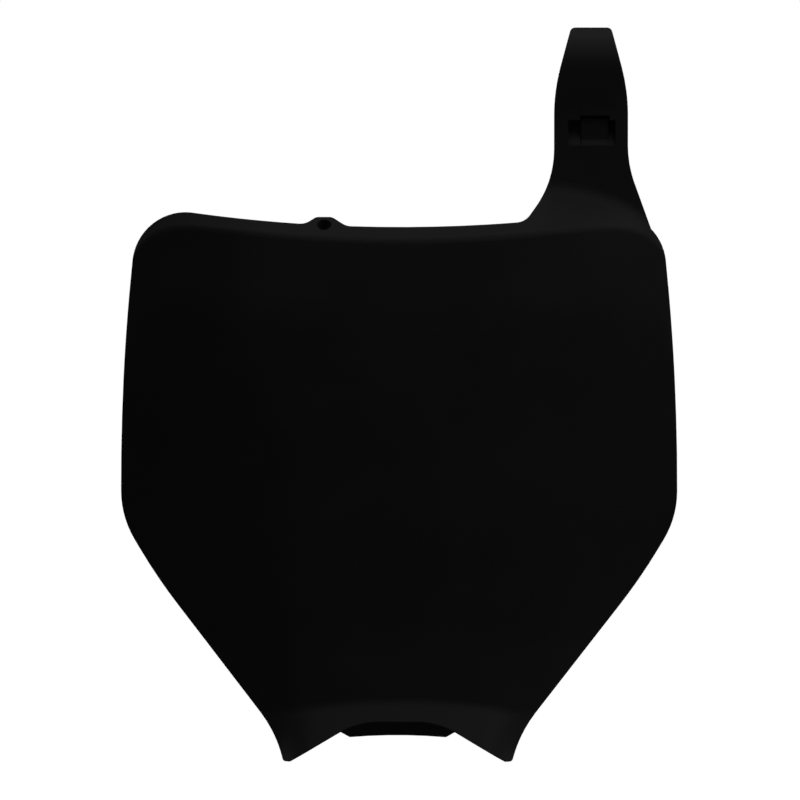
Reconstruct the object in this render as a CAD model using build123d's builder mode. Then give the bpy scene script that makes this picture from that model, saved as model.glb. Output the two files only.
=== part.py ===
"""Front number board of an off-road racing motorbike, moulded in one piece.

The frame: X to the viewer's right, Y from the front face to the back, Z up. The origin is on
the centre line, at the top of the arch in the lower edge, where the mounting tongue begins.
"""

import os
from math import cos, exp, log, radians, sin, tan

from build123d import *

# Sheet
wall = 2.6
half_width = 125.0

# Front outline of the board
rim_z = 221.1
rim_radius = 670.0
corner_radius = 24.0
widest_z = 104.0
side_radius = 1000.0
wide_corner_radius = 42.0
hip_angle = 31.0
hip_z = 64.0
hip_radius = 250.0
diagonal_angle = 38.15

# Prongs at both ends of the skirt, and the arch between them
prong_x = 55.0
prong_z = -4.5
prong_radius = 57.0
prong_tip_z = -17.5
prong_tip_inset = 3.9
prong_tip_width = 3.2
prong_tip_radius = 1.5
arch_half = 18.0
arch_radius = 35.0

# Panel curvature, seen from above
centre_radius = 600.0
knee_top_x = 72.0
knee_low_x = 47.0
wing_top_slope = 0.22
wing_low_slope = 0.34
knee_softness = 6.0

# Skirt flared to the front along the lower edge
skirt_z = 8.7
skirt_arch = 4.5
skirt_inset = 5.5
skirt_softness = 2.6
skirt_fade = 0.25
skirt_angle = 42.0
skirt_radius = 7.0
lower_lead_z = 36.0
lower_lead_angle = 8.0
lower_lead_radius = 110.0

# Rim turned back along the upper edge
upper_lead_drop = 35.0
upper_lead_angle = 7.0
upper_lead_radius = 120.0
rim_rise = 6.1
rim_angle = 45.0
rim_least_depth = 4.5
rim_fade_inset = 10.0
rim_fade_softness = 3.0
rim_least_share = 0.35
crease_inner_radius = 1.9
crease_curve_radius = 600.0
crease_end_drop = 35.0
crease_softness = 9.4

# Strap above the right half
strap_inset = 38.9
strap_half = 16.6
strap_y = 28.5
strap_length = 89.9
strap_bend_radius = 10.0
strap_lean_drop = 38.0
strap_lean_angle = 6.0
strap_lean_radius = 60.0
curl_drop = 10.0
curl_angle = 50.0
curl_radius = 16.0
strap_tip_half = 9.0
strap_tip_radius = 2.5
strap_taper_length = 28.5
strap_shoulder_radius = 85.0
left_flank_rise = 20.8
left_flank_angle = 35.0
left_flank_radius = 45.0
right_flank_rise = 28.1
right_flank_angle = 19.9
right_flank_radius = 50.0
root_radius = 8.0

# Ear with the bolt hole
hole_x = -33.5
hole_rise = 0.9
hole_radius = 3.2
boss_wall = 2.0
boss_length = 7.0
ear_wall = 1.9
ear_half = 3.5
ear_angle = 32.0
ear_radius = 4.0
ear_foot_radius = 8.0

# Buckle in the strap
window_offset = 0.3
window_rise = 37.0
window_width = 21.1
window_height = 11.0
tab_offset = 1.3
tab_width = 12.1
tab_lip = 0.3
tab_recess = 2.3
tab_thickness = 1.8
tab_side_gap = 0.5
tab_notch = 2.0
tab_tip_gap = 0.7
loop_gap = 3.4
loop_wall = 2.2
loop_overlap = 2.0
loop_radius = 1.5
ramp_lip = 1.2
ramp_height = 9.0

# Mounting tongue under the arch
tongue_root_spread = 9.0
tongue_root_sag = 4.2
tongue_end_spread = 3.5
tongue_end_sag = 0.9
tongue_end_y = 13.0
tongue_drop = 6.0
tongue_lift = 0.5
tongue_step = 4.0
tongue_wall = 2.8
tongue_radius = 5.0

# Loft of the sheet: it runs past the outline that is cut from it
station_count = 43
station_margin = 1.0
margin = 6.0

# Heights and places that follow from the sizes above
rim_foot_z = rim_z - rim_rise
crease_radius = crease_inner_radius + wall
rim_fade_x = half_width - rim_fade_inset
skirt_half = prong_x - skirt_inset
strap_x = half_width - strap_inset
strap_top_z = rim_z + strap_length
strap_lean_z = strap_top_z - strap_lean_drop
strap_shoulder_z = strap_top_z - strap_taper_length
curl_z = strap_top_z - curl_drop


def set_back(x, z):
    """How far the panel's front face lies behind the origin at a place in the front view."""
    spread = abs(x)
    share = z / rim_z
    knee = knee_low_x + (knee_top_x - knee_low_x) * share
    slope = wing_low_slope + (wing_top_slope - wing_low_slope) * share
    wing = knee_softness * log(1 + exp((spread - knee) / knee_softness))
    return spread**2 / (2 * centre_radius) + slope * wing


def crease_height(x):
    """Height of the crease between panel and rim: it follows the rim and turns down at the corners."""
    spread = abs(x)
    drop = crease_end_drop * exp((spread - half_width) / crease_softness)
    return rim_foot_z + spread**2 / (2 * crease_curve_radius) - drop


def side_profile(x):
    """Corner points of the front face, from the skirt's lower end up to the strap's tip."""
    share = skirt_fade + (1 - skirt_fade) / (1 + exp((abs(x) - skirt_half) / skirt_softness))
    skirt_slope = tan(radians(skirt_angle)) * share
    lead_slope = tan(radians(lower_lead_angle)) * (1 + share) / 2
    low_z = skirt_z - skirt_arch * min(1, abs(x) / skirt_half) ** 2
    low_y = set_back(x, low_z) - lead_slope * (lower_lead_z - low_z)
    end_z = prong_tip_z - margin
    high_z = crease_height(x)
    lead_z = high_z - upper_lead_drop
    high_y = set_back(x, high_z) + tan(radians(upper_lead_angle)) * upper_lead_drop
    bend_y = max(strap_y, high_y + rim_least_depth)
    rim_share = rim_least_share + (1 - rim_least_share) / (1 + exp((abs(x) - rim_fade_x) / rim_fade_softness))
    bend_z = high_z + (bend_y - high_y) / (tan(radians(rim_angle)) * rim_share)
    curl_y = bend_y - tan(radians(strap_lean_angle)) * (curl_z - strap_lean_z)
    top_z = strap_top_z + margin
    return [
        (low_y - skirt_slope * (low_z - end_z), end_z),
        (low_y, low_z),
        (set_back(x, lower_lead_z), lower_lead_z),
        (set_back(x, lead_z), lead_z),
        (high_y, high_z),
        (bend_y, bend_z),
        (bend_y, strap_lean_z),
        (curl_y, curl_z),
        (curl_y + tan(radians(curl_angle)) * (top_z - curl_z), top_z),
    ]


bend_radii = [
    skirt_radius,
    lower_lead_radius,
    upper_lead_radius,
    crease_radius,
    strap_bend_radius,
    strap_lean_radius,
    curl_radius,
]

station_reach = half_width + station_margin
stations = [station_reach * (2 * i / (station_count - 1) - 1) for i in range(station_count)]

# Front outline: half of the board, mirrored, then the strap and the ear
prong_tip_x = prong_x - prong_tip_inset
side_x = half_width + margin
hip_x = prong_x + (hip_z - prong_z) * tan(radians(diagonal_angle))
hip_top_z = hip_z + (side_x - hip_x) / tan(radians(hip_angle))
corner_top_z = rim_z + half_width**2 / (2 * rim_radius) + margin

left_flank_z = rim_z + left_flank_rise
right_flank_z = rim_z + right_flank_rise
strap_left_x = strap_x - strap_half
strap_right_x = strap_x + strap_half
left_foot_x = strap_left_x - (left_flank_z - rim_foot_z) * tan(radians(left_flank_angle))
right_foot_x = strap_right_x + (right_flank_z - rim_foot_z) * tan(radians(right_flank_angle))

hole_z = rim_z + hole_rise
ear_rise = (hole_radius + ear_wall) * cos(radians(rim_angle))
ear_foot = ear_half + 2 * ear_rise / tan(radians(ear_angle))

with BuildSketch(Plane.XZ) as outline:
    with BuildLine():
        FilletPolyline(
            (0, 0),
            (arch_half, 0),
            (prong_tip_x - prong_tip_width, prong_tip_z),
            (prong_tip_x, prong_tip_z),
            (prong_x, prong_z),
            (hip_x, hip_z),
            (side_x, hip_top_z),
            (side_x, corner_top_z),
            (0, corner_top_z),
            radius=[
                0,
                arch_radius,
                prong_tip_radius,
                prong_tip_radius,
                prong_radius,
                hip_radius,
                0,
                0,
                0,
            ],
            close=True,
        )
    make_face()
    with Locations((0, rim_z + rim_radius)):
        Circle(rim_radius, mode=Mode.SUBTRACT)
    with Locations((half_width - side_radius, widest_z)):
        Circle(side_radius, mode=Mode.INTERSECT)
    fillet(outline.vertices().sort_by(Axis.Y)[-1], corner_radius)
    fillet(outline.vertices().sort_by(Axis.X)[-1], wide_corner_radius)
    mirror(about=Plane.YZ)
    with BuildLine():
        FilletPolyline(
            (strap_x - strap_tip_half, strap_top_z),
            (strap_x + strap_tip_half, strap_top_z),
            (strap_right_x, strap_shoulder_z),
            (strap_right_x, right_flank_z),
            (right_foot_x, rim_foot_z),
            (left_foot_x, rim_foot_z),
            (strap_left_x, left_flank_z),
            (strap_left_x, strap_shoulder_z),
            radius=[
                strap_tip_radius,
                strap_tip_radius,
                strap_shoulder_radius,
                right_flank_radius,
                0,
                0,
                left_flank_radius,
                strap_shoulder_radius,
            ],
            close=True,
        )
    make_face()
    with BuildLine():
        FilletPolyline(
            (hole_x - ear_foot, hole_z - ear_rise),
            (hole_x - ear_half, hole_z + ear_rise),
            (hole_x + ear_half, hole_z + ear_rise),
            (hole_x + ear_foot, hole_z - ear_rise),
            radius=[0, ear_radius, ear_radius, 0],
            close=True,
        )
    make_face()
    rim_corners = [
        ((hole_x - ear_foot, rim_z), ear_foot_radius),
        ((hole_x + ear_foot, rim_z), ear_foot_radius),
        ((left_foot_x, rim_z), root_radius),
    ]
    for place, radius in rim_corners:
        fillet(outline.vertices().sort_by_distance(place)[0], radius)

with BuildPart() as board:
    # Sheet: side profiles across the width, lofted and cut to the outline
    for x in stations:
        with BuildSketch(Plane.YZ.offset(x)):
            with BuildLine():
                FilletPolyline(*side_profile(x), radius=bend_radii)
                offset(amount=wall, side=Side.RIGHT)
            make_face()
    loft()
    extrude(outline.sketch, amount=half_width, both=True, mode=Mode.INTERSECT)

    # Bolt hole through the ear, lengthened by a boss behind it
    crease_y, crease_z = side_profile(hole_x)[4]
    hole_y = crease_y + tan(radians(rim_angle)) * (hole_z - crease_z)
    hole_normal = (0, -cos(radians(rim_angle)), sin(radians(rim_angle)))
    hole_plane = Plane((hole_x, hole_y, hole_z), x_dir=(1, 0, 0), z_dir=hole_normal)
    with BuildSketch(hole_plane.offset(-wall / 2)):
        Circle(hole_radius + boss_wall)
    extrude(amount=wall / 2 - boss_length)
    with Locations(hole_plane.offset(wall)):
        Hole(hole_radius, depth=2 * wall + boss_length)

    # Loop behind the strap, the buckle window in front of it, the ramp that closes the loop below
    # and the tab in the window
    window_x = strap_x + window_offset
    window_z = rim_z + window_rise
    strap_back = strap_y + wall
    centre_low = (Align.CENTER, Align.MIN)
    with BuildSketch(Plane.XY.offset(window_z - loop_overlap)) as loop:
        with Locations((window_x, strap_back - wall / 2)):
            Rectangle(window_width + 2 * loop_wall, wall / 2 + loop_gap + loop_wall, align=centre_low)
        fillet(loop.vertices().group_by(Axis.Y)[-1], loop_radius)
        with Locations((window_x, strap_back + loop_gap)):
            Rectangle(window_width, loop_gap + wall / 2, align=(Align.CENTER, Align.MAX), mode=Mode.SUBTRACT)
    extrude(amount=window_height + tab_notch + 2 * loop_overlap)
    tab_x = window_x + tab_offset
    with BuildSketch(Plane.XZ.offset(-strap_back - loop_gap / 2)):
        with Locations((window_x, window_z)):
            Rectangle(window_width, window_height, align=centre_low)
        with Locations((tab_x, window_z)):
            Rectangle(tab_width + 2 * tab_side_gap, window_height + tab_notch, align=centre_low)
    extrude(amount=2 * wall + loop_gap / 2, mode=Mode.SUBTRACT)
    ramp_back = strap_back + loop_gap + loop_wall / 2
    with BuildSketch(Plane.YZ.offset(window_x - window_width / 2 - loop_wall / 2)):
        with BuildLine():
            Polyline(
                (strap_y + ramp_lip, window_z),
                (ramp_back, window_z + ramp_height),
                (ramp_back, window_z - loop_overlap),
                (strap_back - wall / 2, window_z - loop_overlap),
                close=True,
            )
        make_face()
    extrude(amount=window_width + loop_wall)
    tab_front = strap_y + tab_recess
    tab_top = window_z + window_height + tab_notch - tab_tip_gap
    with BuildSketch(Plane.YZ.offset(tab_x - tab_width / 2)):
        with BuildLine():
            Polyline(
                (strap_y + tab_lip, window_z),
                (tab_front, window_z + tab_recess),
                (tab_front, tab_top),
                (tab_front + tab_thickness, tab_top),
                (tab_front + tab_thickness, window_z),
                (strap_y + wall / 2, window_z - tab_recess),
                close=True,
            )
        make_face()
    extrude(amount=tab_width)

    # Mounting tongue: it starts inside the skirt's lower edge, steps down and runs back
    skirt_y, crease_low_z = side_profile(0)[1]
    arch_y = skirt_y - tan(radians(skirt_angle)) * crease_low_z
    arch_back_y = arch_y + wall / cos(radians(skirt_angle))
    tongue_root_half = arch_half + tongue_root_spread
    tongue_end_half = arch_half + tongue_end_spread
    for y, thickness, half, sag, middle_z in [
        ((arch_y + arch_back_y) / 2, tongue_wall / 2, tongue_root_half, tongue_root_sag, tongue_lift),
        (arch_back_y, tongue_wall, tongue_root_half, tongue_root_sag, tongue_lift),
        (arch_back_y + tongue_step, tongue_wall, tongue_end_half, tongue_end_sag, -tongue_drop),
        (tongue_end_y, tongue_wall, tongue_end_half, tongue_end_sag, -tongue_drop),
    ]:
        with BuildSketch(Plane.XZ.offset(-y)):
            with BuildLine():
                under = ThreePointArc((-half, middle_z - sag), (0, middle_z), (half, middle_z - sag))
                over = ThreePointArc(
                    (-half, middle_z - sag + thickness),
                    (0, middle_z + thickness),
                    (half, middle_z - sag + thickness),
                )
                Line(under @ 0, over @ 0)
                Line(under @ 1, over @ 1)
            make_face()
    loft(ruled=True)
    tongue_corner_z = tongue_wall / 2 - tongue_drop - tongue_end_sag
    for corner_x in (-tongue_end_half, tongue_end_half):
        corner = (corner_x, tongue_end_y, tongue_corner_z)
        fillet(board.edges().sort_by_distance(corner)[0], tongue_radius)

os.makedirs("parts", exist_ok=True)
board.part.label = "number_board"
export_step(board.part, "parts/number_board.step")
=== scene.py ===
# %% [markdown]
# # A moulded number board
# The board is one sheet of black plastic that carries the rider's number at the front of an
# off-road bike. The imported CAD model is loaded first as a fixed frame, in metres, and
# everything below is placed in that frame: X to the viewer's right, Y to the back, Z up. Its
# shape is already that of the real board, so this lesson gives it a finish, light and a camera.

import bpy
import numpy as np
from mathutils import Matrix, Vector


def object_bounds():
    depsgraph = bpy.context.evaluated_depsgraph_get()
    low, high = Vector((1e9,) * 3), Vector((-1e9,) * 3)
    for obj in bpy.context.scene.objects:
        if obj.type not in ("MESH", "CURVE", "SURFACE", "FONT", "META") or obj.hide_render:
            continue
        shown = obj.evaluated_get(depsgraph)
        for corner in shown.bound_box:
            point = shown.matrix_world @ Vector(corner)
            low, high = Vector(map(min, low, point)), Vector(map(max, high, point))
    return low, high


MM_PER_M = 1000

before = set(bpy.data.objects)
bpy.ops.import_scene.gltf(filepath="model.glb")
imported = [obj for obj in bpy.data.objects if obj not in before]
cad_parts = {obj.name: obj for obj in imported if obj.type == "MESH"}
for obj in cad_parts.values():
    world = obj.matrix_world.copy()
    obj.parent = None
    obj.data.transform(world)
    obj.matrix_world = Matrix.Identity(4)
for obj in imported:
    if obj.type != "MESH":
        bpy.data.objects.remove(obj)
cad_low, cad_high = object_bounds()
board_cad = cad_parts["number_board"]
print("board", [round((high - low) * MM_PER_M, 1) for low, high in zip(cad_low, cad_high)], "mm")

# %% [markdown]
# ## Colours and nodes
# A colour is easiest to write as the hex value that a paint program shows. Blender's shaders
# work on linear light instead, so one function turns the first into the second. A second
# small function adds a node, sets it and links it, which keeps the materials short to read.


# %% Helpers for materials
def linear(hex_colour):
    """sRGB hex to linear RGBA: c / 12.92 below 0.04045, else ((c + 0.055) / 1.055) ** 2.4."""
    srgb = np.array([int(hex_colour[i : i + 2], 16) for i in (1, 3, 5)]) / 255
    light = np.where(srgb <= 0.04045, srgb / 12.92, ((srgb + 0.055) / 1.055) ** 2.4)
    return (*light.tolist(), 1.0)


def add(tree, kind, settings=None, links=None):
    """Add one node: settings are its properties or input values, links are input to source socket."""
    node = tree.nodes.new("ShaderNode" + kind)
    for name, value in (settings or {}).items():
        if isinstance(name, int) or name in node.inputs:
            node.inputs[name].default_value = value
        else:
            setattr(node, name, value)
    for name, source in (links or {}).items():
        tree.links.new(source, node.inputs[name])
    return node


def new_material(name):
    """An empty node material and its tree."""
    material = bpy.data.materials.new(name)
    material.use_nodes = True
    material.node_tree.nodes.clear()
    return material, material.node_tree


print("half grey is", round(linear("#808080")[0], 3), "in linear light")

# %% [markdown]
# ## The mould's marks
# Such boards are injection moulded, and the mould leaves its marks. Its face is lightly grained,
# which noise at the size of the grain gives as a bump. Where the melt flowed, black and sheen
# vary a little over a few centimetres, which a second, wider noise gives. A mould also leaves no
# knife-sharp edge. The CAD model's edges are sharp, so a bevel node turns the light softly over
# them, which needs no change to the mesh. All patterns read Object coordinates, in metres.

# %% Lay out grain, flow marks and soft edges
GRAIN_MM = 0.7  # drawn coarser than the real grain of about 0.1 mm, so that it shows
GRAIN_DEPTH_MM = 0.1
GRAIN_STRENGTH = 0.15
GRAIN_DETAIL = 2.0
FLOW_MM = 45.0
FLOW_DETAIL = 3.0
EDGE_MM = 0.8
EDGE_SAMPLES = 6

black_polypropylene, tree = new_material("black_polypropylene_moulded")
surface = add(tree, "TexCoord").outputs["Object"]
flow = add(tree, "TexNoise", {"Scale": MM_PER_M / FLOW_MM, "Detail": FLOW_DETAIL}, {"Vector": surface})
grain = add(tree, "TexNoise", {"Scale": MM_PER_M / GRAIN_MM, "Detail": GRAIN_DETAIL}, {"Vector": surface})
edge = add(tree, "Bevel", {"samples": EDGE_SAMPLES, "Radius": EDGE_MM / MM_PER_M})
bump = add(
    tree,
    "Bump",
    {"Strength": GRAIN_STRENGTH, "Distance": GRAIN_DEPTH_MM / MM_PER_M},
    {"Height": grain.outputs["Fac"], "Normal": edge.outputs["Normal"]},
)
print("grain", GRAIN_MM, "mm, flow marks", FLOW_MM, "mm, edges", EDGE_MM, "mm")

# %% [markdown]
# ## Black polypropylene
# The plastic is coloured black right through. It has a soft satin sheen: broad pale highlights
# where it faces the light, and nothing mirror-like. Polypropylene's IOR is 1.49, and its
# roughness follows the flow marks. The photograph shows almost nothing of the white room in the
# plastic, so the specular level is set far below its usual 0.5.

# %% Make the plastic
FLOW_LOW, FLOW_HIGH = 0.3, 0.7  # nearly all of the noise's values lie between these
SATIN_LOW, SATIN_HIGH = 0.38, 0.46
PLASTIC_IOR = 1.49
PLASTIC_MIRROR = 0.01

sheen = add(
    tree,
    "MapRange",
    {"From Min": FLOW_LOW, "From Max": FLOW_HIGH, "To Min": SATIN_LOW, "To Max": SATIN_HIGH},
    {"Value": flow.outputs["Fac"]},
)
black = add(
    tree,
    "MixRGB",
    {"Color1": linear("#080809"), "Color2": linear("#0f0f10")},
    {"Fac": flow.outputs["Fac"]},
)
plastic = add(
    tree,
    "BsdfPrincipled",
    {"IOR": PLASTIC_IOR, "Specular IOR Level": PLASTIC_MIRROR},
    {
        "Base Color": black.outputs["Color"],
        "Roughness": sheen.outputs["Result"],
        "Normal": bump.outputs["Normal"],
    },
)
add(tree, "OutputMaterial", links={"Surface": plastic.outputs["BSDF"]})
board_cad.data.materials.clear()
board_cad.data.materials.append(black_polypropylene)
print("material", black_polypropylene.name, len(tree.nodes), "nodes")

# %% [markdown]
# ## Camera
# The photograph was taken from far away, straight at the front face, a touch from the right
# and from above. A long lens at 6 m keeps the outline as flat as it is there. The aim point
# is the place on the board that sits at the middle of the picture.

# %% Place the camera
DISTANCE = 6.0
PICTURE_WIDTH = 0.35848
AIM = Vector((0.0006, 0.015, 0.1436))
YAW, PITCH, ROLL = np.radians((0.72, 0.46, 0.05))
SENSOR_MM = 36.0
FAR_LIMIT = 50.0

sight = Vector((np.sin(YAW) * np.cos(PITCH), -np.cos(YAW) * np.cos(PITCH), np.sin(PITCH)))
lens = bpy.data.cameras.new("camera")
lens.sensor_width = SENSOR_MM
lens.lens = SENSOR_MM * DISTANCE / PICTURE_WIDTH
lens.clip_end = FAR_LIMIT
camera = bpy.data.objects.new("camera", lens)
turn = sight.to_track_quat("Z", "Y").to_matrix().to_4x4() @ Matrix.Rotation(ROLL, 4, "Z")
camera.matrix_world = Matrix.Translation(AIM + DISTANCE * sight) @ turn
bpy.context.scene.collection.objects.link(camera)
bpy.context.scene.camera = camera
print("lens", round(lens.lens), "mm")

# %% [markdown]
# ## White room
# The photograph's background is pure white. A room that is white and bright would also flood the
# black plastic with light. So the room looks white only to rays that show it, straight from the
# camera or by way of a glossy or clear surface. As a source of light it stays dim.


# %% Make the room
def seen(tree):
    """1 for rays that show the background itself (camera, glossy, transmission), 0 for other rays."""
    ray = add(tree, "LightPath").outputs
    larger = {"operation": "MAXIMUM"}
    straight = add(tree, "Math", larger, {0: ray["Is Camera Ray"], 1: ray["Is Transmission Ray"]})
    both = add(tree, "Math", larger, {0: straight.outputs["Value"], 1: ray["Is Glossy Ray"]})
    return both.outputs["Value"]


ROOM_LIGHT = 0.06

room = bpy.data.worlds.new("white_room")
room.use_nodes = True
tree = room.node_tree
strength = add(tree, "MapRange", {"To Min": ROOM_LIGHT, "To Max": 1.0}, {"Value": seen(tree)})
background = tree.nodes["Background"]
background.inputs["Color"].default_value = linear("#ffffff")
tree.links.new(strength.outputs["Result"], background.inputs["Strength"])
bpy.context.scene.world = room
bpy.context.scene.view_settings.view_transform = "Standard"
print("room", room.name, "lights at", ROOM_LIGHT)

# %% [markdown]
# ## Floor
# The board hangs from its bolt, so a plain floor lies clear below it and takes its shadow. Its
# paper is grey to the lamps and glows only for rays that show it. Near the board the glow leaves
# room for the shadow, and further out it rises to full white, so that no edge shows.

# %% Lay the floor
FLOOR_HALF = 3.0
FLOOR_DROP = 0.12
PAPER_GLOW = 0.55
SHADOW_REACH, WHITE_REACH = 0.4, 1.4

white_paper, tree = new_material("white_background_paper")
spot = add(tree, "TexCoord").outputs["Object"]
reach = add(tree, "VectorMath", {"operation": "LENGTH"}, {0: spot})
whiteness = add(
    tree,
    "MapRange",
    {"From Min": SHADOW_REACH, "From Max": WHITE_REACH, "To Min": PAPER_GLOW, "To Max": 1.0},
    {"Value": reach.outputs["Value"]},
)
share = add(tree, "Math", {"operation": "MULTIPLY"}, {0: whiteness.outputs["Result"], 1: seen(tree)})
glow = add(tree, "Emission", {"Color": linear("#ffffff")}, {"Strength": share.outputs["Value"]})
matt = add(tree, "BsdfDiffuse", {"Color": linear("#7c7c7c")})
paper = add(tree, "AddShader", links={0: matt.outputs["BSDF"], 1: glow.outputs["Emission"]})
add(tree, "OutputMaterial", links={"Surface": paper.outputs["Shader"]})

floor_z = cad_low[2] - FLOOR_DROP
corners = FLOOR_HALF * np.array([(-1, -1), (1, -1), (1, 1), (-1, 1)])
sheet = bpy.data.meshes.new("floor")
sheet.from_pydata(np.insert(corners, 2, floor_z, axis=1).tolist(), [], [(0, 1, 2, 3)])
sheet.materials.append(white_paper)
floor = bpy.data.objects.new("floor", sheet)
bpy.context.scene.collection.objects.link(floor)
print("floor at", round(floor_z * MM_PER_M), "mm")

# %% [markdown]
# ## Studio light
# The photograph is lit from above and from the right: the rim, the strap's curled tip and the
# skirt face up and are the palest places, and the right wing is paler than the left. One broad
# lamp hangs over the board, a little in front of its face, and one stands at the right. A third
# one stands low, straight behind the board: it reaches nothing that the photograph shows, and
# keeps the back from going flat black in other views.


# %% Hang the lamps
def softbox(name, place, aim, width, power):
    """A square area lamp, turned to face a point."""
    lamp = bpy.data.lights.new(name, "AREA")
    lamp.shape = "SQUARE"
    lamp.size = width
    lamp.energy = power
    holder = bpy.data.objects.new(name, lamp)
    facing = (Vector(place) - Vector(aim)).to_track_quat("Z", "Y").to_matrix().to_4x4()
    holder.matrix_world = Matrix.Translation(place) @ facing
    holder.visible_camera = False
    bpy.context.scene.collection.objects.link(holder)


BOARD_CENTRE = (0.0, 0.0, 0.14)
LAMPS = {  # place and width in metres, power in watts
    "overhead": ((0.25, -0.25, 1.1), 1.4, 20.0),
    "right": ((1.35, -0.75, 1.05), 1.8, 14.0),
    "back": ((0.0, 1.5, 0.1), 0.9, 40.0),
}
for name, (place, width, power) in LAMPS.items():
    softbox(name, place, BOARD_CENTRE, width, power)
print("lamps", list(LAMPS))
